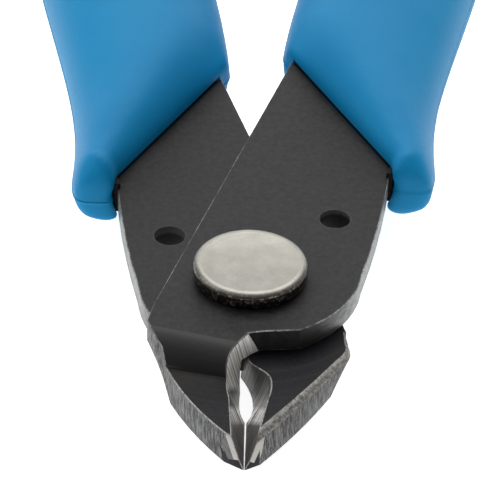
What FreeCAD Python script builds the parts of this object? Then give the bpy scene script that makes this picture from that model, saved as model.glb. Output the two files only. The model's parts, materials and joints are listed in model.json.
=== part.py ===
import FreeCAD, Part
import math
import os
import sys

import Sketcher

Vector = FreeCAD.Vector
Rotation = FreeCAD.Rotation

# Flush cutter: two hardened plates lapped one on the other and riveted at the
# pivot, a torsion spring hidden between them, and a two-layer grip on each tang.
# Every sub-part is drawn about the pivot axis, with z = 0 at the lap between the
# plates, the jaws towards -Y and the handles towards +Y. It is then placed so
# that the part's origin is the centre of its footprint on the bench.

os.makedirs("parts", exist_ok=True)
doc = FreeCAD.newDocument("flush_cutter")

# --------------------------------------------------------------------------
# Driving dimensions, in millimetres and degrees
# --------------------------------------------------------------------------
DIMENSIONS = [
    ("plate_thickness", 1.7),
    ("lap_clearance", 0.04),
    ("jaw_depth", 2.4),
    ("edge_clearance", 0.045),
    ("tip_clearance", 0.012),
    ("land_depth", 0.4),
    ("tip_reach", 16.0),
    ("handle_reach", 111.0),
    ("rest_drop", 4.6),
    ("joggle_start", 7.35),
    ("joggle_turn", 14.3),
    ("joggle_run", 2.1),
    ("joggle_bow_run", 1.2),
    ("joggle_bow_drop", 0.57),
    ("upper_heel_lead", 0.2),
    ("upper_heel_run", 0.45),
    ("lower_heel_lead", 2.2),
    ("lower_heel_run", 0.7),
    ("tip_facet_height", 0.9),
    ("tip_facet_rake", 0.2),
    ("tip_facet_turn", 32.0),
    ("tip_ridge_offset", 0.35),
    ("upper_hole_radius", 1.1),
    ("upper_hole_x", 5.9),
    ("upper_hole_y", 7.15),
    ("lower_hole_radius", 1.12),
    ("lower_hole_x", 5.81),
    ("lower_hole_y", 6.85),
    ("head_radius", 4.0),
    ("head_foot_radius", 3.88),
    ("head_rim", 0.22),
    ("head_swell_height", 0.5),
    ("head_swell_inset", 0.02),
    ("head_height", 1.3),
    ("shank_radius", 2.0),
    ("running_clearance", 0.03),
    ("washer_radius", 3.8),
    ("washer_thickness", 0.5),
    ("washer_chamfer", 0.12),
    ("tail_radius", 2.9),
    ("tail_height", 0.6),
    ("tail_bow_drop", 0.38),
    ("tail_bow_inset", 0.25),
    ("tail_end_inset", 0.9),
    ("wire_radius", 0.3),
    ("coil_radius", 3.0),
    ("coil_rise", 1.05),
    ("leg_reach", 7.0),
    ("recess_depth", 0.9),
    ("recess_play", 0.35),
    ("core_wall", 0.38),
]

sheet = doc.addObject("Spreadsheet::Sheet", "sizes")
for row, (alias, number) in enumerate(DIMENSIONS, start=1):
    sheet.set(f"A{row}", alias.replace("_", " "))
    sheet.set(f"B{row}", str(number))
    sheet.setAlias(f"B{row}", alias)
doc.recompute()


def size(alias):
    """The value of one cell of the sheet."""
    return float(sheet.get(alias))


COIL_TURNS = 1.5
OVERSHOOT = 1.0   # how far a cutting profile runs past the material
HALF_LAP = "sizes.lap_clearance / 2"
PLATE_OUT = "(sizes.lap_clearance / 2 + sizes.plate_thickness)"
THROUGH = "4 * sizes.plate_thickness"
CORE_THICKNESS = "sizes.plate_thickness + 2 * sizes.core_wall"

# --------------------------------------------------------------------------
# Outlines of the half whose handle is on the +X side and whose jaw is on the
# -X side. The other half mirrors them in X.
# --------------------------------------------------------------------------
MOUTH_INNER = (2.64, 27.28)
MOUTH_OUTER = (9.92, 13.44)
JAW_CORNER = (-6.92, -5.4)
LOWER_JAW_CORNER = (-6.75, -3.7)
FRONT_CORNER = (-0.04, -6.4)
JAW_BACK = (0.5, -4.8)

OUTER_EDGE = [
    ("arc", (9.1, 7.2), (7.76, 0.6)),
    ("arc", (6.3, -3.3), (3.48, -5.88)),
    ("line", (1.12, -6.12)),
    ("line", FRONT_CORNER),
]
TANG = [
    (6.0, 38.0), (9.9, 55.0), (12.2, 75.0), (12.2, 96.0),
    (17.0, 96.0), (17.8, 75.0), (16.4, 55.0), (13.4, 38.0), (11.3, 24.0),
]

HANDLE_STEPS = [("line", point) for point in [MOUTH_INNER, *TANG, MOUTH_OUTER]]
UPPER_CORNER = [("line", JAW_CORNER), ("arc", (-6.72, -4.3), (-6.43, -3.05))]
LOWER_CORNER = [("line", LOWER_JAW_CORNER)]

# The core follows the tang with a wall beside it, and its front end stands against
# the outer edge of the plate, level with the front of the sleeve.
CORE = [
    (2.75, 27.07), MOUTH_OUTER, (9.6, 11.75), (10.14, 11.75), (10.5, 14.0),
    (12.2, 24.0), (14.4, 38.0), (17.4, 55.0), (18.8, 75.0), (18.0, 97.2),
    (11.2, 97.2), (11.2, 75.0), (8.9, 55.0), (5.0, 38.0), (3.2, 30.0),
]

# Sleeve sections: place along the handle, inner side, outer side, half thickness,
# and height of the middle. The sleeve's front is centred on its own plate, and
# further back the two sleeves come nearer to one level.
SLEEVE = [
    (11.7, 8.6, 12.6, 1.9, 0.6),
    (12.2, 7.4, 13.0, 2.7, 0.6),
    (13.4, 6.6, 13.2, 3.2, 0.6),
    (16.0, 5.6, 13.2, 3.6, 0.6),
    (22.0, 2.6, 13.6, 4.1, 0.6),
    (30.0, 2.1, 15.1, 4.7, 0.55),
    (42.0, 3.9, 17.7, 5.15, 0.45),
    (60.0, 7.3, 20.4, 5.4, 0.4),
    (80.0, 9.4, 20.9, 5.2, 0.4),
    (98.0, 9.4, 19.3, 4.8, 0.4),
    (107.0, 9.8, 17.8, 3.9, 0.4),
    (110.2, 11.0, 16.2, 2.5, 0.4),
    (111.0, 12.4, 14.8, 1.1, 0.4),
]

# In front of the grip's mouth, everything inside the plate's outer edge is open.
MOUTH_CUT = [MOUTH_OUTER, (10.0, 5.0), (-3.0, 5.0), (-3.0, 38.0)]
REST_CUT = [(-1.0, 0.0), (30.0, 0.0), (30.0, 120.0), (-1.0, 120.0)]

# Jaw sections run from the outer wall round the tip to the heel of the cutting
# edge. The tip is drawn long, and its end facet then cuts it back to its reach.
UPPER_WALL = [
    ("arc", (-6.5, -6.4), (-5.85, -7.4)),
    ("arc", (-4.35, -10.85), (-1.3, -15.1)),
]
UPPER_WALL_FOOT = [
    ("arc", (-5.2, -8.4), (-5.1, -9.3)),
    ("arc", (-3.7, -11.9), (-1.0, -15.55)),
]
LOWER_WALL = [
    ("arc", (-6.8, -4.2), (-7.02, -5.6)),
    ("arc", (-6.88, -6.4), (-6.4, -7.15)),
    ("arc", (-4.76, -9.75), (-1.3, -14.8)),
]
LOWER_WALL_INSIDE_LAND = [
    ("arc", (-6.62, -4.2), (-6.7, -5.5)),
    ("arc", (-6.52, -6.1), (-6.1, -6.75)),
    ("arc", (-4.4, -9.4), (-1.1, -14.1)),
]
LOWER_WALL_FOOT = [
    ("arc", (-5.6, -6.1), (-5.9, -7.0)),
    ("arc", (-5.87, -7.45), (-5.75, -7.9)),
    ("arc", (-4.2, -10.7), (-1.0, -15.4)),
]
UPPER_FOOT_START = (-4.9, -7.7)
LOWER_JAW_START = (-6.5, -2.9)
LOWER_FOOT_START = (-4.9, -5.0)
EDGE = -size("edge_clearance")
TIP_OVERRUN = 0.37
TIP = (-size("tip_clearance"), -size("tip_reach") - TIP_OVERRUN)
EDGE_STEPS = [("line", TIP), ("line", (EDGE, -11.0))]

UPPER_JAW = {
    PLATE_OUT: (JAW_CORNER, UPPER_WALL + [
        ("line", (-0.9, -15.38)),
        ("line", (-1.3, -11.25)),
        ("curve", (-1.75, -9.7), (-1.6, -8.9), (-0.69, -7.44), FRONT_CORNER),
    ]),
    HALF_LAP: (JAW_CORNER, UPPER_WALL + [
        ("line", (-0.9, -15.38)),
        ("line", (-1.15, -11.3)),
        ("curve", (-1.33, -9.7), (-1.2, -8.75), (-0.3, -7.2), (0.76, -6.21)),
    ]),
    "-sizes.jaw_depth": (UPPER_FOOT_START, UPPER_WALL_FOOT + EDGE_STEPS + [
        ("curve", (-0.42, -9.7), (-0.46, -8.6), (-0.36, -7.4), (0.3, -6.0)),
    ]),
}
LOWER_JAW = {
    f"-{HALF_LAP}": (LOWER_JAW_START, LOWER_WALL_INSIDE_LAND + [
        ("line", (-0.9, -14.6)),
        ("line", (-1.44, -11.27)),
        ("curve", (-1.65, -9.7), (-1.42, -8.7), (-0.6, -7.9), (-0.02, -6.4)),
    ]),
    f"-{HALF_LAP} - sizes.land_depth": (LOWER_JAW_START, LOWER_WALL + [
        ("line", (-0.76, -15.48)),
        ("line", (-1.2, -11.22)),
        ("curve", (-1.45, -9.6), (-1.22, -8.6), (-0.44, -7.75), (0.12, -6.35)),
    ]),
    "-sizes.jaw_depth": (LOWER_FOOT_START, LOWER_WALL_FOOT + EDGE_STEPS + [
        ("curve", (-0.42, -9.9), (-0.46, -9.0), (-0.1, -7.3), (0.45, -6.1)),
    ]),
}


def flat(point, side):
    """A plan point as a vector, mirrored in X for the other half."""
    return Vector(side * point[0], point[1], 0)


def outline(start, steps, side=1):
    """Sketch geometry from a start point through line, arc and curve steps."""
    geometry = []
    here = flat(start, side)
    for kind, *plan in steps:
        points = [flat(point, side) for point in plan]
        if kind == "line":
            geometry.append(Part.LineSegment(here, points[0]))
        elif kind == "arc":
            geometry.append(Part.Arc(here, points[0], points[1]))
        else:
            curve = Part.BSplineCurve()
            curve.interpolate([here] + points)
            geometry.append(curve)
        here = points[-1]
    return geometry


def polygon(points, side=1):
    steps = [("line", point) for point in points[1:] + points[:1]]
    return outline(points[0], steps, side)


# --------------------------------------------------------------------------
# PartDesign helpers
# --------------------------------------------------------------------------
def new_body(name):
    body = doc.addObject("PartDesign::Body", name)
    body.Label = name
    return body


def new_sketch(body, name, geometry, lift="0", role="XY_Plane", turn=0.0):
    """A sketch on an origin plane of its own body, lifted by an expression."""
    sketch = body.newObject("Sketcher::SketchObject", f"{body.Name}_{name}")
    plane = next(item for item in body.Origin.OriginFeatures if item.Role == role)
    sketch.AttachmentSupport = [(plane, "")]
    sketch.MapMode = "FlatFace"
    sketch.AttachmentOffset = FreeCAD.Placement(Vector(), Rotation(Vector(0, 1, 0), turn))
    sketch.setExpression("AttachmentOffset.Base.z", lift)
    sketch.addGeometry(geometry, False)
    return sketch


def circle_sketch(body, name, centre, radius, lift):
    """A circle whose centre distances and radius come from the sheet."""
    circle = Part.Circle(Vector(*centre, 0), Vector(0, 0, 1), size(radius))
    sketch = new_sketch(body, name, [circle], lift)
    index = sketch.addConstraint(Sketcher.Constraint("Radius", 0, size(radius)))
    sketch.setExpression(f"Constraints[{index}]", f"sizes.{radius}")
    sketch.addConstraint(Sketcher.Constraint("DistanceX", -1, 1, 0, 3, centre[0]))
    sketch.addConstraint(Sketcher.Constraint("DistanceY", -1, 1, 0, 3, centre[1]))
    return sketch


def volume(body):
    return 0.0 if body.Shape.isNull() else body.Shape.Volume


def extrude(body, kind, name, sketch, length, reverse=False, midplane=False):
    """A pad or pocket that must change the body's volume."""
    before = volume(body)
    feature = body.newObject(f"PartDesign::{kind}", f"{body.Name}_{name}")
    feature.Profile = sketch
    feature.setExpression("Length", length)
    feature.Reversed = reverse
    feature.Midplane = midplane
    doc.recompute()
    change = volume(body) - before
    if (change < 1e-3) if kind == "Pad" else (change > -1e-3):
        sys.exit(f"{feature.Name} changed nothing")
    return feature


def add_loft(body, name, sketches, ruled):
    """A loft through its sketches that must add to the body."""
    before = volume(body)
    feature = body.newObject("PartDesign::AdditiveLoft", f"{body.Name}_{name}")
    feature.Profile = sketches[0]
    feature.Sections = sketches[1:]
    feature.Ruled = ruled
    doc.recompute()
    if volume(body) < before + 1e-3:
        sys.exit(f"{feature.Name} added nothing")
    return feature


# --------------------------------------------------------------------------
# Blades
# --------------------------------------------------------------------------
def plate(body, side, corner, lift):
    """Lap plate and tang in one pad, from its lower face up."""
    steps = OUTER_EDGE + corner + HANDLE_STEPS
    sketch = new_sketch(body, "plate_outline", outline(MOUTH_OUTER, steps, side), lift)
    extrude(body, "Pad", "plate", sketch, "sizes.plate_thickness")


def jaw(body, side, sections):
    """The jaw, lofted straight between its sections."""
    sketches = []
    for number, (lift, (start, steps)) in enumerate(sections.items(), start=1):
        closing = [("line", JAW_BACK), ("line", start)]
        geometry = outline(start, steps + closing, side)
        sketches.append(new_sketch(body, f"jaw_section_{number}", geometry, lift))
    add_loft(body, "jaw", sketches, ruled=True)


def side_cut(body, name, profile, turn=0.0):
    """Cut across the jaw with a profile of forward and upward distances."""
    geometry = outline(profile[0], profile[1:])
    sketch = new_sketch(body, f"{name}_profile", geometry, "0", "XZ_Plane", turn - 90.0)
    extrude(body, "Pocket", name, sketch, "4 * sizes.tip_reach", midplane=True)


def tip_facet(body, side):
    """Small end facet, which leans back under the tip and sets its reach."""
    turn = size("tip_facet_turn")
    angle = math.radians(turn)
    reach = size("tip_reach") * math.cos(angle) + size("tip_ridge_offset") * math.sin(angle)
    foot = -size("jaw_depth")
    side_cut(body, "tip_facet", [
        (reach, foot + size("tip_facet_height")),
        ("line", (reach - size("tip_facet_rake"), foot)),
        ("line", (reach - size("tip_facet_rake"), foot - OVERSHOOT)),
        ("line", (reach + OVERSHOOT, foot - OVERSHOOT)),
        ("line", (reach + OVERSHOOT, foot + size("tip_facet_height"))),
        ("line", (reach, foot + size("tip_facet_height"))),
    ], -side * turn)


def heel_relief(body, turn, face, start, run):
    """Take away what lies behind the jaw's heel, from a plate face down."""
    foot = -size("jaw_depth")
    back = start - size("joggle_start")
    side_cut(body, "heel_relief", [
        (back, face),
        ("line", (start, face)),
        ("line", (start + run, foot)),
        ("line", (start + run, foot - OVERSHOOT)),
        ("line", (back, foot - OVERSHOOT)),
        ("line", (back, face)),
    ], turn)


def pivot_cuts(body, side, hole, bore, inner_face, into_plus_z):
    """Pivot bore, side hole, and the spring's recess and leg groove."""
    sketch = circle_sketch(body, "bore_circle", (0.0, 0.0), "shank_radius", "0")
    if bore:
        sketch.setExpression("Constraints[0]", bore)
    extrude(body, "Pocket", "bore", sketch, THROUGH, midplane=True)

    centre = (side * size(f"{hole}_x"), size(f"{hole}_y"))
    sketch = circle_sketch(body, "side_hole_circle", centre, f"{hole}_radius", "0")
    extrude(body, "Pocket", "side_hole", sketch, THROUGH, midplane=True)

    sketch = circle_sketch(body, "recess_circle", (0.0, 0.0), "coil_radius", inner_face)
    sketch.setExpression(
        "Constraints[0]", "sizes.coil_radius + sizes.wire_radius + sizes.recess_play"
    )
    extrude(body, "Pocket", "recess", sketch, "sizes.recess_depth", reverse=into_plus_z)

    half_width = size("wire_radius") + size("recess_play") / 2
    near = size("coil_radius") - half_width
    far = size("coil_radius") + half_width
    end = size("leg_reach") + size("recess_play")
    corners = [(near, 0.0), (far, 0.0), (far, end), (near, end)]
    sketch = new_sketch(body, "leg_groove_outline", polygon(corners, side), inner_face)
    extrude(body, "Pocket", "leg_groove", sketch, "sizes.recess_depth", reverse=into_plus_z)


def upper_blade():
    """Upper plate, whose jaw is joggled down beside the lower one."""
    body = new_body("upper_blade")
    plate(body, 1, UPPER_CORNER, HALF_LAP)
    jaw(body, 1, UPPER_JAW)
    start = size("joggle_start")
    lap = size("lap_clearance") / 2
    top = lap + size("plate_thickness")
    bow = (start + size("joggle_bow_run"), top - size("joggle_bow_drop"))
    far = size("tip_reach") + TIP_OVERRUN + OVERSHOOT
    turn = -size("joggle_turn")
    side_cut(body, "joggle", [
        (start, top + OVERSHOOT),
        ("line", (start, top)),
        ("arc", bow, (start + size("joggle_run"), lap)),
        ("line", (far, lap)),
        ("line", (far, top + OVERSHOOT)),
        ("line", (start, top + OVERSHOOT)),
    ], turn)
    heel_relief(body, turn, lap, start - size("upper_heel_lead"), size("upper_heel_run"))
    tip_facet(body, 1)
    bore = "sizes.shank_radius + sizes.running_clearance"
    pivot_cuts(body, 1, "upper_hole", bore, HALF_LAP, True)
    return body


def lower_blade():
    """Lower plate, whose jaw lies flush with its lap face."""
    body = new_body("lower_blade")
    plate(body, -1, LOWER_CORNER, f"-{PLATE_OUT}")
    jaw(body, -1, LOWER_JAW)
    plate_floor = -size("lap_clearance") / 2 - size("plate_thickness")
    start = size("joggle_start") - size("lower_heel_lead")
    heel_relief(body, size("joggle_turn"), plate_floor, start, size("lower_heel_run"))
    tip_facet(body, -1)
    pivot_cuts(body, -1, "lower_hole", None, f"-{HALF_LAP}", False)
    return body


# --------------------------------------------------------------------------
# Pivot
# --------------------------------------------------------------------------
def pivot_rivet():
    """Barrelled head, plain shank and a peened tail, turned in one piece."""
    body = new_body("pivot_rivet")
    foot = size("lap_clearance") / 2 + size("plate_thickness") + size("running_clearance")
    face = foot + size("head_height")
    rim = size("head_rim")
    head = size("head_radius")
    shank = size("shank_radius")
    tail = size("tail_radius")
    seat = foot - size("running_clearance") + size("washer_thickness")
    end = seat + size("tail_height")
    swell = (head - size("head_swell_inset"), foot + size("head_swell_height"))
    tail_bow = (tail - size("tail_bow_inset"), -seat - size("tail_bow_drop"))
    profile = outline((0.0, face), [
        ("line", (head - rim, face)),
        ("line", (head, face - rim)),
        ("arc", swell, (size("head_foot_radius"), foot)),
        ("line", (shank, foot)),
        ("line", (shank, -seat)),
        ("line", (tail, -seat)),
        ("arc", tail_bow, (tail - size("tail_end_inset"), -end)),
        ("line", (0.0, -end)),
        ("line", (0.0, face)),
    ])
    sketch = new_sketch(body, "profile", profile, "0", "XZ_Plane")
    turned = body.newObject("PartDesign::Revolution", "pivot_rivet_turned")
    turned.Profile = sketch
    turned.ReferenceAxis = (sketch, ["V_Axis"])
    turned.Angle = 360.0
    doc.recompute()
    return body


def rivet_washer():
    """Plain washer under the rivet's tail, with broken outer edges."""
    blank = doc.addObject("Part::Cylinder", "washer_blank")
    blank.setExpression("Radius", "sizes.washer_radius")
    blank.setExpression("Height", "sizes.washer_thickness")
    hole = doc.addObject("Part::Cylinder", "washer_hole")
    hole.setExpression("Radius", "sizes.shank_radius")
    hole.setExpression("Height", "sizes.washer_thickness")
    ring = doc.addObject("Part::Cut", "washer_ring")
    ring.Base = blank
    ring.Tool = hole
    doc.recompute()
    rims = []
    for number, edge in enumerate(ring.Shape.Edges, start=1):
        if isinstance(edge.Curve, Part.Circle) and edge.Curve.Radius > size("tail_radius"):
            rims.append((number, size("washer_chamfer"), size("washer_chamfer")))
    washer = doc.addObject("Part::Chamfer", "rivet_washer")
    washer.Label = "rivet_washer"
    washer.Base = ring
    washer.Edges = rims
    return washer


def return_spring():
    """Torsion spring round the shank: one and a half turns between two legs."""
    wire = size("wire_radius")
    radius = size("coil_radius")
    rise = size("coil_rise")
    leg = Vector(0, size("leg_reach"), 0)
    low = Vector(-radius, 0, -rise / 2)
    high = Vector(radius, 0, rise / 2)
    helix = Part.makeHelix(rise / COIL_TURNS, rise, radius)
    helix.rotate(Vector(), Vector(0, 0, 1), 180.0)
    helix.translate(Vector(0, 0, low.z))
    legs = [Part.makeLine(low + leg, low), Part.makeLine(high, high + leg)]
    path = Part.Wire([legs[0], *helix.Edges, legs[1]])
    section = Part.Wire([Part.makeCircle(wire, low + leg, Vector(0, -1, 0))])
    spring = doc.addObject("Part::Feature", "return_spring")
    spring.Label = "return_spring"
    spring.Shape = path.makePipeShell([section], True, True, 0)
    return spring


# --------------------------------------------------------------------------
# Grips
# --------------------------------------------------------------------------
def plate_foot(side):
    """Expression for the height of the lower face of one plate."""
    return HALF_LAP if side > 0 else f"-{PLATE_OUT}"


def grip_core(name, side):
    """Stiff inner layer, moulded round the tang."""
    body = new_body(name)
    foot = f"{plate_foot(side)} - sizes.core_wall"
    sketch = new_sketch(body, "outline", polygon(CORE, side), foot)
    extrude(body, "Pad", "block", sketch, CORE_THICKNESS)
    tang = outline(MOUTH_OUTER, OUTER_EDGE[:1] + HANDLE_STEPS, side)
    sketch = new_sketch(body, "tang_outline", tang, plate_foot(side))
    extrude(body, "Pocket", "tang_slot", sketch, "sizes.plate_thickness", reverse=True)
    return body


def grip_sleeve(name, side):
    """Soft outer layer, lofted along the handle and open at its mouth."""
    body = new_body(name)
    sketches = []
    for number, (along, inner, outer, half_thickness, middle) in enumerate(SLEEVE, start=1):
        centre = Vector(side * (inner + outer) / 2, side * middle, 0)
        ellipse = Part.Ellipse(centre, (outer - inner) / 2, half_thickness)
        sketch = new_sketch(body, f"section_{number}", [ellipse], f"{-along}", "XZ_Plane")
        sketches.append(sketch)
    add_loft(body, "skin", sketches, ruled=False)
    sketch = new_sketch(body, "mouth_outline", polygon(MOUTH_CUT, side))
    extrude(body, "Pocket", "mouth", sketch, "4 * sizes.rest_drop", midplane=True)
    foot = f"{plate_foot(side)} - sizes.core_wall"
    sketch = new_sketch(body, "core_outline", polygon(CORE, side), foot)
    extrude(body, "Pocket", "core_space", sketch, CORE_THICKNESS, reverse=True)
    sketch = new_sketch(body, "rest_outline", polygon(REST_CUT, side), "-sizes.rest_drop")
    extrude(body, "Pocket", "rest_face", sketch, "sizes.rest_drop")
    return body


# --------------------------------------------------------------------------
# Assembly and export
# --------------------------------------------------------------------------
sub_parts = [
    upper_blade(),
    lower_blade(),
    pivot_rivet(),
    rivet_washer(),
    return_spring(),
    grip_core("right_grip_core", 1),
    grip_core("left_grip_core", -1),
    grip_sleeve("right_grip_sleeve", 1),
    grip_sleeve("left_grip_sleeve", -1),
]
for item in sub_parts:
    item.setExpression("Placement.Base.y", "(sizes.tip_reach - sizes.handle_reach) / 2")
    if item.Label == "rivet_washer":
        drop = f"sizes.rest_drop - {PLATE_OUT} - sizes.washer_thickness"
        item.setExpression("Placement.Base.z", drop)
    else:
        item.setExpression("Placement.Base.z", "sizes.rest_drop")
doc.recompute()

faults = [item.Name for item in doc.Objects if {"Invalid", "Error"} & set(item.State)]
for item in sub_parts:
    if item.Shape.isNull() or not item.Shape.isValid() or len(item.Shape.Solids) != 1:
        faults.append(item.Label)
if faults:
    sys.exit(f"not built: {', '.join(faults)}")
for item in sub_parts:
    item.Shape.exportStep(f"parts/{item.Label}.step")
    box = item.Shape.BoundBox
    print(f"{item.Label}: volume {item.Shape.Volume:.1f} mm3, "
          f"x {box.XMin:.2f} to {box.XMax:.2f}, y {box.YMin:.2f} to {box.YMax:.2f}, "
          f"z {box.ZMin:.2f} to {box.ZMax:.2f}")
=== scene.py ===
import json
import math

import bmesh
import bpy
import numpy as np
from mathutils import Matrix, Vector


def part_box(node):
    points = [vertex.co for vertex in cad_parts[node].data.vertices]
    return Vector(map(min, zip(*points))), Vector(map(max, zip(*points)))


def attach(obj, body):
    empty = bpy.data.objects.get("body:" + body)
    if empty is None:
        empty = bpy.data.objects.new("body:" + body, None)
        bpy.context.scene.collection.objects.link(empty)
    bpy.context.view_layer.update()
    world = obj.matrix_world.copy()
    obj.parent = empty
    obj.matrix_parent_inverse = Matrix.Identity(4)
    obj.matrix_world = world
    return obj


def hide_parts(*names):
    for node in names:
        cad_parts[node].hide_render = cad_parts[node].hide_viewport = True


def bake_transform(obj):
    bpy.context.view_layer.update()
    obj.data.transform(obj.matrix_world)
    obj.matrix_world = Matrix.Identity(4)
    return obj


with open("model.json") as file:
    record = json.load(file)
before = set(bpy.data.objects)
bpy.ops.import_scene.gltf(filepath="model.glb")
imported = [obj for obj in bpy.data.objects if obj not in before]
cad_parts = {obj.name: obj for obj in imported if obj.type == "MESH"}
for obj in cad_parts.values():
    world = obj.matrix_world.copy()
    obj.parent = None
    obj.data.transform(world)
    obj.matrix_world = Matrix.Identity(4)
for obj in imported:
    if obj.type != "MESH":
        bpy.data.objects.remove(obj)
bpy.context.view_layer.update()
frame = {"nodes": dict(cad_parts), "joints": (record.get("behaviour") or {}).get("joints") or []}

# The looks of a small flush cutter: oxidised lap plates with ground jaws, a plain
# steel rivet, a hidden torsion spring, and soft blue sleeves over black cores.

# --------------------------------------------------------------------------
# Places, taken from the frame. Lengths below are in millimetres from the pivot,
# at the lap between the plates, and mm() turns them into the frame's metres.
# --------------------------------------------------------------------------
MM = 0.001
PIVOT = Vector(frame["joints"][0]["pos_m"])
PLATE_TOP = (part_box("upper_blade")[1].z - PIVOT.z) / MM
HEAD_TOP = (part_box("pivot_rivet")[1].z - PIVOT.z) / MM
HEAD_RADIUS = 4.0
FACE_RADIUS = 3.45
RIM_DROP = 0.42          # how far the rounded rim falls from the face to the barrel


def mm(x, y, z):
    return PIVOT + Vector((x, y, z)) * MM


# --------------------------------------------------------------------------
# Camera and light. The camera's places are multiples of the rivet head's radius.
# --------------------------------------------------------------------------
CAMERA_ELEVATION = math.radians(36.32)
CAMERA_AZIMUTH = math.radians(-0.18)
CAMERA_ROLL = math.radians(2.06)
CAMERA_DISTANCE = 58.77
CAMERA_TARGET = (-0.02, 0.887)
CAMERA_LENS = 241.1
CAMERA_SENSOR = 36.0


def make_camera():
    """A long lens, looking down over the jaws and turned a little about its axis."""
    elevation, azimuth, roll = CAMERA_ELEVATION, CAMERA_AZIMUTH, CAMERA_ROLL
    target = mm(CAMERA_TARGET[0] * HEAD_RADIUS, CAMERA_TARGET[1] * HEAD_RADIUS, PLATE_TOP)
    back = Vector((
        math.sin(azimuth) * math.cos(elevation),
        -math.cos(azimuth) * math.cos(elevation),
        math.sin(elevation),
    ))
    right = Vector((math.cos(azimuth), math.sin(azimuth), 0.0))
    up = back.cross(right)
    right, up = (
        right * math.cos(roll) + up * math.sin(roll),
        up * math.cos(roll) - right * math.sin(roll),
    )
    place = Matrix((right, up, back)).transposed().to_4x4()
    place.translation = target + back * CAMERA_DISTANCE * HEAD_RADIUS * MM
    data = bpy.data.cameras.new("camera")
    data.lens = CAMERA_LENS
    data.sensor_width = CAMERA_SENSOR
    data.clip_start = 0.01
    data.clip_end = 20.0
    camera = bpy.data.objects.new("camera", data)
    camera.matrix_world = place
    bpy.context.scene.collection.objects.link(camera)
    bpy.context.scene.camera = camera


def area_light(name, place, target, width, height, power):
    data = bpy.data.lights.new(name, "AREA")
    data.shape = "RECTANGLE"
    data.size = width
    data.size_y = height
    data.energy = power
    lamp = bpy.data.objects.new(name, data)
    lamp.location = place
    lamp.rotation_euler = (Vector(target) - Vector(place)).to_track_quat("-Z", "Y").to_euler()
    bpy.context.scene.collection.objects.link(lamp)


def make_studio():
    bpy.context.scene.view_settings.view_transform = "Standard"
    world = bpy.data.worlds.new("studio")
    world.use_nodes = True
    world.node_tree.nodes["Background"].inputs["Color"].default_value = (1.0, 1.0, 1.0, 1.0)
    world.node_tree.nodes["Background"].inputs["Strength"].default_value = 0.34
    bpy.context.scene.world = world
    area_light("overhead", (0.0, 0.26, 0.56), (0.0, 0.0, 0.0), 0.7, 0.5, 4.0)
    area_light("left_window", (-0.5, -0.05, 0.35), (0.0, -0.02, 0.0), 0.3, 0.4, 0.9)
    area_light("behind", (0.0, 0.9, 0.3), (0.0, 0.0, 0.0), 1.6, 0.4, 4.5)


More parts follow.
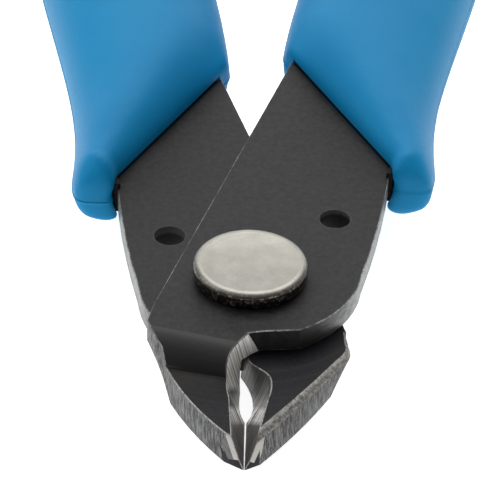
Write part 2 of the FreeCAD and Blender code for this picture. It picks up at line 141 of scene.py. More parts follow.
# --------------------------------------------------------------------------
# Material helpers
# --------------------------------------------------------------------------
class Recipe:
    """A node material built around one Principled shader."""

    def __init__(self, name, **sockets):
        self.material = bpy.data.materials.new(name)
        self.material.use_nodes = True
        self.tree = self.material.node_tree
        self.shader = self.tree.nodes["Principled BSDF"]
        for socket, value in sockets.items():
            self.shader.inputs[socket.replace("_", " ")].default_value = value
        coordinates = self.tree.nodes.new("ShaderNodeTexCoord").outputs["Object"]
        shifted = self.vector("SUBTRACT", coordinates, tuple(PIVOT))
        self.place = self.vector("SCALE", shifted, scale=1.0 / MM)

    def new(self, kind, inputs=None, **settings):
        node = self.tree.nodes.new(kind)
        for key, value in settings.items():
            setattr(node, key, value)
        for key, value in (inputs or {}).items():
            if isinstance(value, bpy.types.NodeSocket):
                self.tree.links.new(value, node.inputs[key])
            else:
                node.inputs[key].default_value = value
        return node

    def vector(self, operation, a, b=None, scale=None):
        inputs = {0: a}
        if b is not None:
            inputs[1] = b
        if scale is not None:
            inputs["Scale"] = scale
        return self.new("ShaderNodeVectorMath", inputs, operation=operation).outputs[0]

    def math(self, operation, a, b=0.0, clamp=False):
        node = self.new("ShaderNodeMath", {0: a, 1: b}, operation=operation, use_clamp=clamp)
        return node.outputs[0]

    def noise(self, scale, detail=3.0, roughness=0.5, where=None, distortion=0.0):
        """Noise whose scale counts features per millimetre."""
        inputs = {"Vector": where or self.place, "Scale": scale, "Detail": detail,
                  "Roughness": roughness, "Distortion": distortion}
        return self.new("ShaderNodeTexNoise", inputs).outputs["Fac"]

    def radius(self, x, y):
        square = self.math("ADD", self.math("MULTIPLY", x, x), self.math("MULTIPLY", y, y))
        return self.math("POWER", square, 0.5)

    def ramp(self, factor, stops):
        """Warm grey tones at places from 0 to 1 along the factor."""
        node = self.new("ShaderNodeValToRGB", {0: factor})
        marks = node.color_ramp.elements
        while len(marks) < len(stops):
            marks.new(0.5)
        for mark, (place, tone) in zip(marks, stops):
            mark.position = place
            mark.color = (tone, tone * 0.97, tone * 0.93, 1.0)
        return node.outputs[0]

    def streaks(self, along, scale, detail=4.0):
        """Noise that changes with one value only, for lines and bands."""
        inputs = {"W": along, "Scale": scale, "Detail": detail, "Roughness": 0.65}
        node = self.new("ShaderNodeTexNoise", inputs, noise_dimensions="1D")
        return node.outputs["Fac"]

    def spread(self, value, low, high, out_low=0.0, out_high=1.0):
        inputs = {0: value, 1: low, 2: high, 3: out_low, 4: out_high}
        return self.new("ShaderNodeMapRange", inputs).outputs[0]

    def mix(self, factor, a, b):
        """Colour a where the factor is 0 and b where it is 1."""
        node = self.new("ShaderNodeMix", {0: factor, 6: a, 7: b}, data_type="RGBA")
        return node.outputs[2]

    def axes(self):
        return self.new("ShaderNodeSeparateXYZ", {0: self.place}).outputs

    def colour(self, socket):
        self.tree.links.new(socket, self.shader.inputs["Base Color"])

    def rough(self, socket):
        self.tree.links.new(socket, self.shader.inputs["Roughness"])

    def bump(self, height, depth, strength=1.0):
        """Bump from a 0 to 1 height, whose full depth is given in millimetres."""
        inputs = {"Height": height, "Strength": strength, "Distance": depth * MM}
        previous = self.shader.inputs["Normal"].links
        if previous:
            inputs["Normal"] = previous[0].from_socket
        node = self.new("ShaderNodeBump", inputs)
        self.tree.links.new(node.outputs[0], self.shader.inputs["Normal"])


def grey(value):
    return (value, value, value, 1.0)


# --------------------------------------------------------------------------
# Materials. side is 1 for the upper blade and -1 for the lower.
# --------------------------------------------------------------------------
STRIP_WIDTHS = {1: 0.45, -1: 0.8}     # bright strip along each bevel at the tip
STRIP_START = 0.9        # how far from the cutting plane the strip begins, at the lap's height
STRIP_SLOPE = 0.37       # how far the bevel's edge moves sideways for each drop
STRIP_BLUR = 0.02        # softness of the strip's outer edge
BEVEL_DROP = 1.26        # how far back each drop moves the bevel's tones
BEVEL_RUN = (-18.5, -4.5)             # the bevel's tones run from the tip to the heel
FAN_PLACE = 12.7         # the wheel marks' fan lies this far in front of the pivot
BEVEL_TONES = {
    1: ((0.0, 0.14), (0.33, 0.15), (0.37, 0.5), (0.44, 0.8),
        (0.48, 0.1), (0.58, 0.07), (0.63, 0.85), (1.0, 0.9)),
    -1: ((0.0, 0.14), (0.33, 0.15), (0.37, 0.9), (0.44, 1.0),
         (0.48, 0.3), (0.58, 0.07), (0.63, 0.09), (1.0, 0.12)),
}


def oxide(name, dark, light, roughness, mottle=0.2, gloss=0.13, wear=0.05):
    """Black oxide: brown and blue mottling, fine grain and faint handling marks."""
    recipe = Recipe(name, Metallic=0.0, Roughness=roughness, Specular_IOR_Level=gloss)
    cloud = recipe.spread(recipe.noise(mottle, 4.0, 0.6, distortion=0.6), 0.35, 0.68)
    fine = recipe.spread(recipe.noise(2.2, 6.0, 0.8), 0.36, 0.64)
    base = recipe.mix(cloud, dark, light)
    grain = recipe.mix(recipe.math("MULTIPLY", fine, 0.32), base, grey(wear))
    recipe.colour(grain)
    recipe.rough(recipe.spread(cloud, 0.0, 1.0, roughness - 0.06, roughness + 0.08))
    recipe.bump(recipe.noise(5.0, 4.0, 0.6), 0.006, 0.6)
    stretched = recipe.vector("MULTIPLY", recipe.place, (1.2, 9.0, 4.0))
    recipe.bump(recipe.noise(1.0, 3.0, 0.6, where=stretched), 0.004, 0.5)
    return recipe.material


def joggle_oxide_painted_shade():
    """The step down to the jaw: plate colour at its brow, near black at its foot, the darkening down the
    step being painted shade.
    """
    recipe = Recipe("joggle_oxide_painted_shade", Roughness=0.5, Specular_IOR_Level=0.22)
    z = recipe.axes()["Z"]
    fine = recipe.spread(recipe.noise(2.6, 5.0, 0.7), 0.3, 0.7)
    height = recipe.math("ADD", z, recipe.math("MULTIPLY", fine, 0.25))
    # Painted shade: the colour runs from the plate's tone at the brow to near black at the foot of the
    # step.
    brow = recipe.spread(height, 0.35, PLATE_TOP + 0.1)
    base = recipe.mix(brow, (0.004, 0.004, 0.005, 1.0), (0.019, 0.0175, 0.017, 1.0))
    recipe.colour(base)
    recipe.bump(fine, 0.008, 0.6)
    return recipe.material


def jaw_oxide():
    """Near-black jaw tops, with faint rub arcs about the pivot and a worn patch."""
    recipe = Recipe("jaw_oxide", Roughness=0.42, Specular_IOR_Level=0.1)
    x, y = recipe.axes()[:2]
    arcs = recipe.spread(recipe.streaks(recipe.radius(x, y), 1.6, 3.0), 0.5, 0.8)
    speck = recipe.spread(recipe.noise(4.5, 5.0, 0.75), 0.45, 0.7)
    cloud = recipe.noise(0.5, 4.0, 0.6)
    base = recipe.mix(cloud, (0.0022, 0.0022, 0.004, 1.0), (0.0055, 0.0055, 0.0075, 1.0))
    rubbed = recipe.mix(recipe.math("MULTIPLY", arcs, 0.12), base, grey(0.04))
    worn = recipe.spread(recipe.math("ADD", y, recipe.math("MULTIPLY", cloud, 1.2)), -10.6, -9.0)
    patch = recipe.math("MULTIPLY", worn, recipe.spread(x, -1.6, -2.2))
    shaded = recipe.mix(recipe.math("MULTIPLY", patch, 0.5), rubbed, (0.024, 0.021, 0.018, 1.0))
    recipe.colour(recipe.mix(recipe.math("MULTIPLY", speck, 0.25), shaded, grey(0.032)))
    recipe.rough(recipe.spread(arcs, 0.0, 1.0, 0.46, 0.38))
    recipe.bump(speck, 0.01, 0.7)
    return recipe.material


def ground(name, side):
    """Bare ground steel whose marks cross the bevel towards the cutting edge.

    The upper heel is the lightest, then come a dark band, a fan of bright wheel
    marks where the bevel turns, and a darker run to the tip.
    """
    recipe = Recipe(name, Metallic=0.3, Roughness=0.4, Specular_IOR_Level=0.3)
    x, y, z = recipe.axes()
    slant = recipe.math("ADD", recipe.math("MULTIPLY", x, 1.0 * side), recipe.math("MULTIPLY", y, 0.42))
    slant = recipe.math("ADD", slant, recipe.math("MULTIPLY", z, 0.3))
    lines = recipe.streaks(slant, 6.5, 3.0)
    wander = recipe.math("MULTIPLY", recipe.streaks(slant, 1.1, 2.0), 0.7)
    drop = recipe.math("MULTIPLY", z, BEVEL_DROP)
    place = recipe.math("ADD", recipe.math("ADD", y, drop), wander)
    tone = recipe.ramp(recipe.spread(place, *BEVEL_RUN), BEVEL_TONES[side])
    from_fan = recipe.math("ABSOLUTE", recipe.math("ADD", place, FAN_PLACE))
    fan = recipe.spread(from_fan, 0.4, 1.2, 0.95, 0.6)
    cover = recipe.math("MULTIPLY", recipe.spread(lines, 0.44, 0.6), fan)
    recipe.colour(recipe.mix(cover, tone, grey(0.03)))
    recipe.rough(recipe.spread(lines, 0.3, 0.7, 0.34, 0.5))
    recipe.bump(lines, 0.02, 1.0)
    return recipe.material


def bright_facet(name, side):
    """A freshly ground strip along the bevel at the tip, and dull steel beyond it."""
    recipe = Recipe(name, Metallic=0.3, Roughness=0.45, Specular_IOR_Level=0.3)
    axes = recipe.axes()
    x, z = axes["X"], axes["Z"]
    lines = recipe.streaks(recipe.math("ADD", z, recipe.math("MULTIPLY", x, 0.6)), 6.0, 5.0)
    bright = recipe.mix(
        recipe.spread(lines, 0.35, 0.7), (0.4, 0.38, 0.36, 1.0), (0.26, 0.25, 0.235, 1.0)
    )
    reach = recipe.math("ADD", recipe.math("MULTIPLY", x, side), STRIP_START + STRIP_WIDTHS[side])
    reach = recipe.math("ADD", reach, recipe.math("MULTIPLY", z, STRIP_SLOPE))
    strip = recipe.spread(reach, -STRIP_BLUR, STRIP_BLUR)
    dull = recipe.mix(recipe.spread(lines, 0.35, 0.7), grey(0.05), grey(0.13))
    recipe.colour(recipe.mix(strip, dull, bright))
    recipe.bump(lines, 0.01, 0.8)
    return recipe.material


def wall_steel():
    """Side walls of the jaws: grey, with fine vertical grinding marks."""
    recipe = Recipe("jaw_wall", Metallic=0.3, Roughness=0.5, Specular_IOR_Level=0.3)
    across = recipe.vector("MULTIPLY", recipe.place, (1.0, 1.0, 0.14))
    marks = recipe.noise(6.5, 5.0, 0.75, where=across)
    tone = recipe.mix(recipe.spread(marks, 0.44, 0.6), grey(0.005), (0.16, 0.166, 0.16, 1.0))
    recipe.colour(tone)
    recipe.rough(recipe.spread(marks, 0.3, 0.7, 0.4, 0.55))
    recipe.bump(marks, 0.035, 1.0)
    return recipe.material


def land_steel():
    """The rough lighter chamfer along the top of the lower jaw's wall."""
    recipe = Recipe("jaw_land", Metallic=0.4, Roughness=0.5)
    speck = recipe.noise(4.2, 5.0, 0.75)
    recipe.colour(recipe.mix(recipe.spread(speck, 0.36, 0.66), grey(0.045), (0.3, 0.285, 0.26, 1.0)))
    recipe.bump(speck, 0.035, 1.0)
    return recipe.material


def worn_steel_and_painted_highlight():
    """Edges rubbed back towards bare steel and lightened further as a painted highlight, more in some
    places than in others.
    """
    recipe = Recipe("worn_edge_and_painted_highlight", Metallic=0.3, Roughness=0.45, Specular_IOR_Level=0.3)
    y = recipe.axes()["Y"]
    nearer = recipe.spread(y, -9.0, -12.0, 0.0, 0.3)
    patch = recipe.spread(recipe.math("ADD", recipe.noise(0.45, 4.0, 0.75), nearer), 0.4, 0.64)
    fine = recipe.spread(recipe.noise(4.0, 3.0, 0.7), 0.3, 0.6)
    # Painted highlight: the light tone on the edge bevels is partly bare steel from wear and partly the
    # light that rounded edges catch.
    tone = recipe.mix(recipe.math("MULTIPLY", patch, fine), grey(0.03), (0.33, 0.335, 0.32, 1.0))
    recipe.colour(tone)
    recipe.bump(fine, 0.012, 0.7)
    return recipe.material


def bore_steel_and_painted_light():
    """Inside of a punched hole: dark, partly as painted shade in the hole, with a rough lighter fracture
    band below, partly painted light coming up through the hole.
    """
    recipe = Recipe("punched_bore_and_painted_light", Metallic=0.2, Roughness=0.6, Specular_IOR_Level=0.2)
    z = recipe.axes()["Z"]
    torn = recipe.noise(4.0, 5.0, 0.75)
    height = recipe.math("ADD", z, recipe.math("MULTIPLY", torn, 0.5))
    # Painted light and shade: the band near the lap is lighter as torn steel and as light from below; the
    # rest is dark as burnished steel and as shade inside the hole.
    band = recipe.spread(recipe.math("PINGPONG", height, 1.0), 0.25, 0.5)
    recipe.colour(recipe.mix(band, grey(0.06), grey(0.004)))
    recipe.bump(torn, 0.03, 0.8)
    return recipe.material


def sheared_edge():
    """Edge of the plate: pale grey-green, darkening towards the front."""
    recipe = Recipe("sheared_edge", Metallic=0.4, Roughness=0.45)
    y = recipe.axes()["Y"]
    marks = recipe.noise(1.6, 4.0, 0.6, where=recipe.vector("MULTIPLY", recipe.place, (1.0, 1.0, 3.0)))
    pale = recipe.mix(recipe.spread(marks, 0.35, 0.7), (0.07, 0.076, 0.072, 1.0), (0.24, 0.26, 0.245, 1.0))
    front = recipe.spread(recipe.math("ADD", y, marks), -4.6, -0.5, 0.94, 0.0)
    recipe.colour(recipe.mix(front, pale, (0.007, 0.006, 0.006, 1.0)))
    recipe.bump(marks, 0.01, 0.6)
    return recipe.material


def rivet_steel():
    """Satin face with faint turning rings, above a dark speckled barrel."""
    recipe = Recipe("rivet_steel", Metallic=0.9, Roughness=0.45)
    x, y, z = recipe.axes()
    rings = recipe.streaks(recipe.radius(x, y), 5.0, 4.0)
    cloud = recipe.noise(0.9, 4.0, 0.6)
    tone = recipe.mix(recipe.spread(cloud, 0.3, 0.7), (0.2, 0.196, 0.173, 1.0), (0.25, 0.244, 0.216, 1.0))
    torn = recipe.noise(3.0, 5.0, 0.75)
    specks = recipe.spread(recipe.noise(2.4, 4.0, 0.7), 0.62, 0.75)
    face = recipe.mix(recipe.math("MULTIPLY", specks, 0.35), tone, grey(0.12))
    height = recipe.math("SUBTRACT", z, recipe.math("MULTIPLY", torn, 0.9))
    below = recipe.spread(height, HEAD_TOP - 0.72, HEAD_TOP - 0.5, 1.0, 0.0)
    barrel = recipe.mix(
        recipe.spread(torn, 0.52, 0.66), (0.022, 0.019, 0.017, 1.0), (0.3, 0.28, 0.25, 1.0)
    )
    recipe.colour(recipe.mix(below, face, barrel))
    recipe.rough(recipe.spread(rings, 0.3, 0.7, 0.32, 0.42))
    recipe.bump(rings, 0.004, 0.5)
    recipe.bump(torn, 0.02, 0.5)
    return recipe.material


def spring_wire():
    """Drawn music wire with fine die lines."""
    recipe = Recipe("spring_wire", Metallic=1.0, Roughness=0.3)
    lines = recipe.noise(4.0, 3.0, 0.6)
    recipe.colour(recipe.mix(recipe.spread(lines, 0.3, 0.7), grey(0.32), grey(0.5)))
    recipe.bump(lines, 0.003, 0.5)
    return recipe.material


def sleeve_plastic():
    """Soft satin blue, with a very fine moulded grain."""
    recipe = Recipe("sleeve_plastic", Roughness=0.52, Specular_IOR_Level=0.1)
    cloud = recipe.spread(recipe.noise(0.09, 3.0, 0.5), 0.3, 0.7)
    recipe.colour(recipe.mix(cloud, (0.0022, 0.165, 0.36, 1.0), (0.0045, 0.195, 0.4, 1.0)))
    grain = recipe.noise(3.2, 4.0, 0.65)
    recipe.rough(recipe.spread(grain, 0.3, 0.7, 0.44, 0.54))
    recipe.bump(grain, 0.01, 0.5)
    return recipe.material


def core_plastic():
    """Matt black with a slight moulded texture, darker than black plastic as painted shade for the gap
    between plate and sleeve.
    """
    recipe = Recipe("core_plastic", Roughness=0.6, Specular_IOR_Level=0.12)
    grain = recipe.noise(3.0, 4.0, 0.6)
    # Painted shade: the near-black colour is partly the core's own black and partly the shade in the gap
    # at the sleeve's mouth.
    recipe.colour(recipe.mix(grain, grey(0.001), grey(0.004)))
    recipe.bump(grain, 0.01, 0.5)
    return recipe.material


def floor_paper():
    """Pale paper on a light table, which keeps the shadows soft."""
    recipe = Recipe("floor_paper", Roughness=0.9, Emission_Strength=0.85)
    recipe.shader.inputs["Emission Color"].default_value = grey(1.0)
    fibre = recipe.noise(0.4, 4.0, 0.6)
    recipe.colour(recipe.mix(fibre, grey(0.93), grey(0.96)))
    return recipe.material


# --------------------------------------------------------------------------
# Mesh helpers
# --------------------------------------------------------------------------
def new_object(name, data):
    item = bpy.data.objects.new(name, data)
    bpy.context.scene.collection.objects.link(item)
    return item


def mesh_object(name, rings, caps=(True, True), closed=True):
    """A skin through rings of points in frame metres, closed at its ends."""
    mesh = bmesh.new()
    rows = [[mesh.verts.new(point) for point in ring] for ring in rings]
    count = len(rows[0])
    for low, high in zip(rows, rows[1:]):
        for i in range(count if closed else count - 1):
            j = (i + 1) % count
            mesh.faces.new((low[i], low[j], high[j], high[i]))
    if caps[0]:
        mesh.faces.new(list(reversed(rows[0])))
    if caps[1]:
        mesh.faces.new(rows[-1])
    bmesh.ops.recalc_face_normals(mesh, faces=mesh.faces)
    data = bpy.data.meshes.new(name)
    mesh.to_mesh(data)
    mesh.free()
    return new_object(name, data)


def smooth(item, angle=35.0):
    item.data.polygons.foreach_set("use_smooth", [True] * len(item.data.polygons))
    item.data.set_sharp_from_angle(angle=math.radians(angle))


# --------------------------------------------------------------------------
# Blades
# --------------------------------------------------------------------------
FINISHES = (
    "oxide", "front", "joggle", "bevel", "facet", "wall", "land", "side", "jaw_top", "bore", "worn",
)
HOLES = ((5.9, 7.15), (-5.81, 6.85))
HOLE_REACH = 1.5         # faces of the bores lie within this of a hole's centre
JAW_LIMIT = -3.0         # the dark jaw finish starts here, under the upper plate
LAND_LIMIT = -5.0        # in front of this are the land, then the walls, bevels and joggle
WALL_LIMIT = -5.2
BEVEL_LIMIT = -5.9
JOGGLE_LIMIT = -6.0
TIP_LIMIT = -15.0        # in front of this, faces turned forward belong to the blunt tip
TIP_FOOT = -1.75         # below this the tip is dark
JAW_TOP = 0.05           # highest that a jaw's top face reaches
BEVEL_SPAN = (-2.6, 0.6)              # the bevels lie in this span across the tool
STEEP = 0.35             # upward part of a normal, below which a face counts as upright
PLATE_SIDE = 2.6         # sideways reach from which a plate's edge is pale
EDGE_WEAR = 0.07         # width rubbed off the outside corners
RIM_WEAR = 0.06          # softened upper edge of the side holes
JAW_FOOT = 2.25          # below this the jaws keep their sharp cutting edges


def surface_finish(centre, normal, side):
    """The finish of one face, from its place and direction.

    centre is in millimetres from the pivot. x and outward are turned so that the
    jaw lies towards -x, whichever half the face is on.
    """
    x, y, z = centre.x * side, centre.y, centre.z
    inward = normal.x * side
    steep = abs(normal.z) < STEEP
    if steep and min(math.hypot(centre.x - u, centre.y - v) for u, v in HOLES) < HOLE_REACH:
        return "bore"
    if y < TIP_LIMIT and normal.y < -0.3 and steep:
        return "facet" if z > TIP_FOOT else "jaw_top"
    if y < BEVEL_LIMIT and inward > 0.32 and BEVEL_SPAN[0] < x < BEVEL_SPAN[1] and normal.z > -0.3:
        return "bevel"
    if y < WALL_LIMIT and inward < -0.2 and steep:
        return "wall"
    if side < 0 and y < LAND_LIMIT and inward < -0.1 and STEEP < normal.z < 0.97:
        return "land"
    if y < JAW_LIMIT and normal.z > 0.3 and z < JAW_TOP:
        return "jaw_top"
    if y < JOGGLE_LIMIT and normal.z > 0.3:
        return "joggle" if z < PLATE_TOP - 0.02 else "oxide"
    if steep:
        return "side" if x > PLATE_SIDE or y > 0.0 else "front"
    return "oxide"


def is_worn_edge(edge):
    """Outside corners are worn, but not the cutting edges, the holes or the land."""
    if not edge.is_convex or len(edge.link_faces) != 2:
        return False
    if edge.calc_face_angle() < math.radians(24.0) or edge.calc_length() < 2 * EDGE_WEAR * MM:
        return False
    upright = abs(edge.verts[0].co.z - edge.verts[1].co.z) > 0.6 * edge.calc_length()
    if upright and edge.calc_face_angle() < math.radians(60.0):
        return False
    middle = (edge.verts[0].co + edge.verts[1].co) / 2
    if middle.z < PIVOT.z - JAW_FOOT * MM:
        return False
    kept = {FINISHES.index("bore"), FINISHES.index("land")}
    return not kept & {face.material_index for face in edge.link_faces}


def blade(node, body, side, materials):
    """A blade with its edges broken and each kind of surface told apart."""
    mesh = bmesh.new()
    mesh.from_mesh(frame["nodes"][node].data)
    bmesh.ops.remove_doubles(mesh, verts=mesh.verts, dist=2e-6)
    bmesh.ops.dissolve_limit(mesh, angle_limit=math.radians(0.4), verts=mesh.verts, edges=mesh.edges)
    bmesh.ops.recalc_face_normals(mesh, faces=mesh.faces)
    bmesh.ops.bisect_plane(
        mesh, geom=mesh.verts[:] + mesh.edges[:] + mesh.faces[:], dist=2e-6,
        plane_co=mm(0.0, JAW_LIMIT, 0.0), plane_no=(0.0, 1.0, 0.0),
    )
    for face in mesh.faces:
        centre = (face.calc_center_median() - PIVOT) / MM
        face.material_index = FINISHES.index(surface_finish(centre, face.normal, side))
    sharp = [edge for edge in mesh.edges if is_worn_edge(edge)]
    # The broken edges take the worn finish, whose light tone is partly wear and partly a painted
    # highlight.
    bmesh.ops.bevel(
        mesh, geom=sharp, offset=EDGE_WEAR * MM, offset_type="OFFSET", segments=2, profile=0.5,
        clamp_overlap=False, affect="EDGES", material=FINISHES.index("worn"),
    )
    bore = FINISHES.index("bore")
    rims = [
        edge for edge in mesh.edges
        if len(edge.link_faces) == 2 and edge.is_convex and edge.calc_face_angle() > math.radians(60.0)
        and sum(face.material_index == bore for face in edge.link_faces) == 1
        and max(face.normal.z for face in edge.link_faces) > 0.9
    ]
    bmesh.ops.bevel(
        mesh, geom=rims, offset=RIM_WEAR * MM, offset_type="OFFSET", segments=3, profile=0.5,
        clamp_overlap=False, affect="EDGES", material=bore,
    )
    data = bpy.data.meshes.new(f"{node}_finished")
    mesh.to_mesh(data)
    mesh.free()
    item = new_object(f"{node}_finished", data)
    for finish in FINISHES:
        data.materials.append(materials[finish])
    smooth(item, 40.0)
    modifier = item.modifiers.new("weighted", "WEIGHTED_NORMAL")
    modifier.keep_sharp = True
    modifier.weight = 100
    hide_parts(node)
    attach(item, body)


# --------------------------------------------------------------------------
# Pivot
# --------------------------------------------------------------------------
WASHER_THICKNESS = 0.5
WASHER_BORE = 2.02
WASHER_RADIUS = 3.66     # where the washer's rounded edge begins
WASHER_ROUND = 0.14
SPRING_COIL = 3.0
SPRING_RISE = 1.05
SPRING_LEG = 7.0
SPRING_WIRE = 0.3
LEG_STEPS = 14
TURN_STEPS = 150


def lathe(name, profile, segments=144):
    """A solid of revolution about the pivot axis, from its upper to its lower end."""
    rings = []
    for radius, height in profile:
        ring = []
        for step in range(segments):
            angle = 2 * math.pi * step / segments
            ring.append(mm(radius * math.cos(angle), radius * math.sin(angle), height))
        rings.append(ring)
    return mesh_object(name, rings)


def rounded(centre, radius, start, end, steps):
    """Profile points on an arc, with its angles in degrees from outwards."""
    points = []
    for step in range(steps + 1):
        angle = math.radians(start + (end - start) * step / steps)
        points.append((centre[0] + radius * math.cos(angle), centre[1] + radius * math.sin(angle)))
    return points


def make_rivet(material):
    """Flat face, worn rim, barrelled side and a peened tail under the washer."""
    foot = PLATE_TOP + 0.03
    washer_foot = -PLATE_TOP - WASHER_THICKNESS
    profile = [(0.6, HEAD_TOP - 0.02), (FACE_RADIUS - 0.1, HEAD_TOP - 0.02), (FACE_RADIUS, HEAD_TOP)]
    for step in range(1, 11):
        angle = math.pi / 2 * step / 10
        out = (HEAD_RADIUS - FACE_RADIUS) * math.sin(angle)
        profile.append((FACE_RADIUS + out, HEAD_TOP - RIM_DROP * (1 - math.cos(angle))))
    profile += [(HEAD_RADIUS, foot + 0.6), (3.98, foot + 0.38), (3.94, foot + 0.18), (3.87, foot)]
    profile += [(2.0, foot), (2.0, washer_foot), (2.85, washer_foot)]
    profile += rounded((2.35, washer_foot - 0.05), 0.5, 0.0, -80.0, 8)
    profile += [(1.6, washer_foot - 0.6), (0.5, washer_foot - 0.6)]
    rivet = lathe("pivot_rivet_turned", profile)
    rivet.data.materials.append(material)
    smooth(rivet, 38.0)
    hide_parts("pivot_rivet")
    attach(rivet, "lower_half")


def make_washer(material):
    top = -PLATE_TOP
    foot = top - WASHER_THICKNESS
    profile = [(WASHER_BORE, top), (WASHER_RADIUS, top)]
    profile += rounded((WASHER_RADIUS, top - WASHER_ROUND), WASHER_ROUND, 90.0, 0.0, 5)
    profile += rounded((WASHER_RADIUS, foot + WASHER_ROUND), WASHER_ROUND, 0.0, -90.0, 5)
    profile += [(WASHER_BORE, foot), (WASHER_BORE, top)]
    rings = []
    segments = 128
    for step in range(segments + 1):
        angle = 2 * math.pi * step / segments
        rings.append([mm(r * math.cos(angle), r * math.sin(angle), z) for r, z in profile[:-1]])
    washer = mesh_object("rivet_washer_stamped", rings, caps=(False, False))
    mesh = bmesh.new()
    mesh.from_mesh(washer.data)
    bmesh.ops.remove_doubles(mesh, verts=mesh.verts, dist=1e-6)
    bmesh.ops.recalc_face_normals(mesh, faces=mesh.faces)
    mesh.to_mesh(washer.data)
    mesh.free()
    washer.data.materials.append(material)
    smooth(washer, 38.0)
    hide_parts("rivet_washer")
    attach(washer, "lower_half")


def tube(name, path, radius, sides=20):
    """A round wire swept along a list of points."""
    rings = []
    normal = Vector((0.0, 0.0, 1.0))
    for index, point in enumerate(path):
        ahead = path[min(index + 1, len(path) - 1)]
        behind = path[max(index - 1, 0)]
        tangent = (ahead - behind).normalized()
        across = tangent.cross(normal).normalized()
        upward = across.cross(tangent)
        ring = []
        for side in range(sides):
            angle = 2 * math.pi * side / sides
            ring.append(point + (across * math.cos(angle) + upward * math.sin(angle)) * radius)
        rings.append(ring)
    return mesh_object(name, rings)


def make_spring(material):
    """One and a half turns round the shank, from the lower leg to the upper leg."""
    coil, rise, leg = SPRING_COIL, SPRING_RISE, SPRING_LEG
    path = [mm(-coil, leg * (1 - step / LEG_STEPS), -rise / 2) for step in range(LEG_STEPS)]
    for step in range(TURN_STEPS + 1):
        part = step / TURN_STEPS
        angle = math.pi + 3 * math.pi * part
        eased = part * part * (3 - 2 * part) * 0.2 + part * 0.8
        path.append(mm(coil * math.cos(angle), coil * math.sin(angle), rise * (eased - 0.5)))
    path += [mm(coil, leg * (step + 1) / LEG_STEPS, rise / 2) for step in range(LEG_STEPS)]
    spring = tube("return_spring_wound", path, SPRING_WIRE * MM)
    spring.data.materials.append(material)
    smooth(spring, 50.0)
    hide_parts("return_spring")
    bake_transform(spring)


# --------------------------------------------------------------------------
# Grips
# --------------------------------------------------------------------------
# Plan of a sleeve's open edge on the +X side: along the slanted mouth, then forward
# beside the plate.
MOUTH = ((2.64, 27.28), (9.92, 13.44), (9.96, 11.6), (12.6, 11.6))
PLATE_MIDDLE = 0.87      # height of a plate's middle above or below the lap
CORE_HALF = 1.23         # half thickness of the core round its plate
LIP = 0.3                # thickness of the sleeve's edge over the core
SHOULDER = 4.2           # how far from the mouth the sleeve reaches its full height
FRONT_SWELL = 0.85       # how much prouder the blunt front stands above its core
FRONT_SWELL_REACH = 2.3
CORE_FRONT = 12.0        # the core's front end is in front of this
CORE_SET_BACK = 0.7      # how far that end stands back inside the sleeve's mouth
CORE_ROUND = 0.09        # rounding of the core's moulded edges
LIP_REACH = 0.36         # how far the lower lip reaches in under the plate
SEAM_WIDTH = 0.5
SEAM_HEIGHT = 0.07
FIRST_VOXEL = 0.25       # the sleeve's skin before and after its mouth is rounded
LAST_VOXEL = 0.28
LAST_PASSES = 14


def distance_to(line, x, y):
    """Shortest distance in plan from each point to a polyline."""
    nearest = np.full(x.shape, 1e9)
    for (ax, ay), (bx, by) in zip(line, line[1:]):
        dx, dy = bx - ax, by - ay
        t = np.clip(((x - ax) * dx + (y - ay) * dy) / (dx * dx + dy * dy), 0.0, 1.0)
        nearest = np.minimum(nearest, np.hypot(x - ax - t * dx, y - ay - t * dy))
    return nearest


def remelt(item, voxel, passes):
    """Give an object an even skin and soften its corners."""
    remesh = item.modifiers.new("remesh", "REMESH")
    remesh.mode = "VOXEL"
    remesh.voxel_size = voxel * MM
    soften = item.modifiers.new("soften", "SMOOTH")
    soften.factor = 0.5
    soften.iterations = passes
    evaluated = item.evaluated_get(bpy.context.evaluated_depsgraph_get())
    melted = bpy.data.meshes.new_from_object(evaluated)
    item.modifiers.clear()
    item.data = melted


def round_shoulder(data, side):
    """Roll the sleeve down to its thin edge round the mouth, above and below."""
    points = np.empty(len(data.vertices) * 3)
    data.vertices.foreach_get("co", points)
    points = points.reshape(-1, 3)
    local = (points - np.array(PIVOT)) / MM
    x, y, z = local[:, 0] * side, local[:, 1], local[:, 2] - side * PLATE_MIDDLE
    near = np.clip(distance_to(MOUTH, x, y) / SHOULDER, 0.0, 1.0)
    rise = (1.0 - (1.0 - near) ** 2.6) ** 0.62
    edge = CORE_HALF + LIP
    proud = np.maximum(np.abs(z) - edge, 0.0)
    swell = FRONT_SWELL * np.exp(-((y - MOUTH[-1][1]) / FRONT_SWELL_REACH) ** 2)
    proud *= np.where(z > 0.0, 1.0 + swell, 1.0)
    z = np.sign(z) * (np.minimum(np.abs(z), edge) + proud * rise)
    inner = np.clip((MOUTH[-1][0] - x) / (MOUTH[-1][0] - MOUTH[-2][0]), 0.0, 1.0)
    front = np.clip((MOUTH[1][1] - y) / (MOUTH[1][1] - MOUTH[-1][1]), 0.0, 1.0)
    below = np.clip(-z / CORE_HALF, 0.0, 1.0)
    local[:, 0] -= side * LIP_REACH * inner * front * below
    local[:, 2] = z + side * PLATE_MIDDLE
    data.vertices.foreach_set("co", (local * MM + np.array(PIVOT)).ravel())
    data.update()


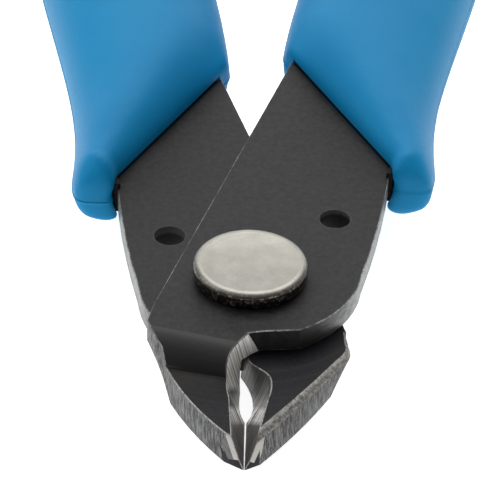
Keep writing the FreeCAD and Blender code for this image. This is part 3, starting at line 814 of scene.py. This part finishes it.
def raise_seam(data, side):
    """A low moulded ridge round the sleeve, level with its plate's middle."""
    mesh = bmesh.new()
    mesh.from_mesh(data)
    level = side * PLATE_MIDDLE
    for lift in (-SEAM_WIDTH / 2, SEAM_WIDTH / 2, 0.0):
        bmesh.ops.bisect_plane(
            mesh, geom=mesh.verts[:] + mesh.edges[:] + mesh.faces[:], dist=2e-6,
            plane_co=mm(0, 0, level + lift), plane_no=(0, 0, 1),
        )
    height = mm(0, 0, level).z
    mesh.normal_update()
    moves = [
        (vert, vert.normal.copy()) for vert in mesh.verts
        if abs(vert.co.z - height) < 3e-6 and abs(vert.normal.z) < 0.7
    ]
    for vert, normal in moves:
        vert.co += normal * SEAM_HEIGHT * MM
    mesh.to_mesh(data)
    mesh.free()


def make_sleeve(side, body, material):
    """Soft sleeve, moulded over the core and rounded at its mouth."""
    name = "right_grip_sleeve" if side > 0 else "left_grip_sleeve"
    sleeve = new_object(f"{name}_soft", frame["nodes"][name].data.copy())
    remelt(sleeve, FIRST_VOXEL, 0)
    round_shoulder(sleeve.data, side)
    remelt(sleeve, LAST_VOXEL, LAST_PASSES)
    raise_seam(sleeve.data, side)
    sleeve.data.materials.clear()
    sleeve.data.materials.append(material)
    smooth(sleeve, 50.0)
    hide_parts(name)
    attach(sleeve, body)


def make_core(side, body, material):
    """Stiff inner layer, set back inside its sleeve's mouth, with rounded edges."""
    name = "right_grip_core" if side > 0 else "left_grip_core"
    mesh = bmesh.new()
    mesh.from_mesh(frame["nodes"][name].data)
    bmesh.ops.remove_doubles(mesh, verts=mesh.verts, dist=2e-6)
    bmesh.ops.dissolve_limit(mesh, angle_limit=math.radians(0.4), verts=mesh.verts, edges=mesh.edges)
    bmesh.ops.recalc_face_normals(mesh, faces=mesh.faces)
    for vert in mesh.verts:
        if (vert.co.y - PIVOT.y) / MM < CORE_FRONT:
            vert.co.y += CORE_SET_BACK * MM
    sharp = [edge for edge in mesh.edges if edge.calc_face_angle(0.0) > math.radians(30.0)]
    bmesh.ops.bevel(
        mesh, geom=sharp, offset=CORE_ROUND * MM, offset_type="OFFSET", segments=3, profile=0.5,
        clamp_overlap=True, affect="EDGES",
    )
    data = bpy.data.meshes.new(f"{name}_moulded")
    mesh.to_mesh(data)
    mesh.free()
    core = new_object(f"{name}_moulded", data)
    data.materials.append(material)
    smooth(core, 40.0)
    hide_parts(name)
    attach(core, body)


# --------------------------------------------------------------------------
# The scene
# --------------------------------------------------------------------------
make_camera()
make_studio()

FLOOR_REACH = 3.0        # metres from the middle to each side
floor = mesh_object("floor", [
    [Vector((-FLOOR_REACH, depth, 0.0)), Vector((FLOOR_REACH, depth, 0.0))]
    for depth in (-FLOOR_REACH, FLOOR_REACH)
], caps=(False, False), closed=False)
floor.data.materials.append(floor_paper())

finishes = {
    "oxide": oxide("black_oxide", (0.0042, 0.0028, 0.0022, 1.0), (0.0145, 0.0142, 0.0152, 1.0), 0.5),
    "front": oxide("front_oxide", (0.008, 0.0065, 0.006, 1.0), (0.014, 0.013, 0.013, 1.0), 0.55),
    "joggle": joggle_oxide_painted_shade(),
    "wall": wall_steel(),
    "land": land_steel(),
    "side": sheared_edge(),
    "jaw_top": jaw_oxide(),
    "bore": bore_steel_and_painted_light(),
    "worn": worn_steel_and_painted_highlight(),
}
for node, body, side in (("upper_blade", "upper_half", 1), ("lower_blade", "lower_half", -1)):
    finishes["bevel"] = ground(f"{node}_bevel", side)
    finishes["facet"] = bright_facet(f"{node}_tip_facet", side)
    blade(node, body, side, finishes)

steel = rivet_steel()
make_rivet(steel)
make_washer(steel)
make_spring(spring_wire())

sleeve_skin = sleeve_plastic()
core_black_and_shade_skin = core_plastic()
for side, body in ((1, "upper_half"), (-1, "lower_half")):
    make_sleeve(side, body, sleeve_skin)
    make_core(side, body, core_black_and_shade_skin)
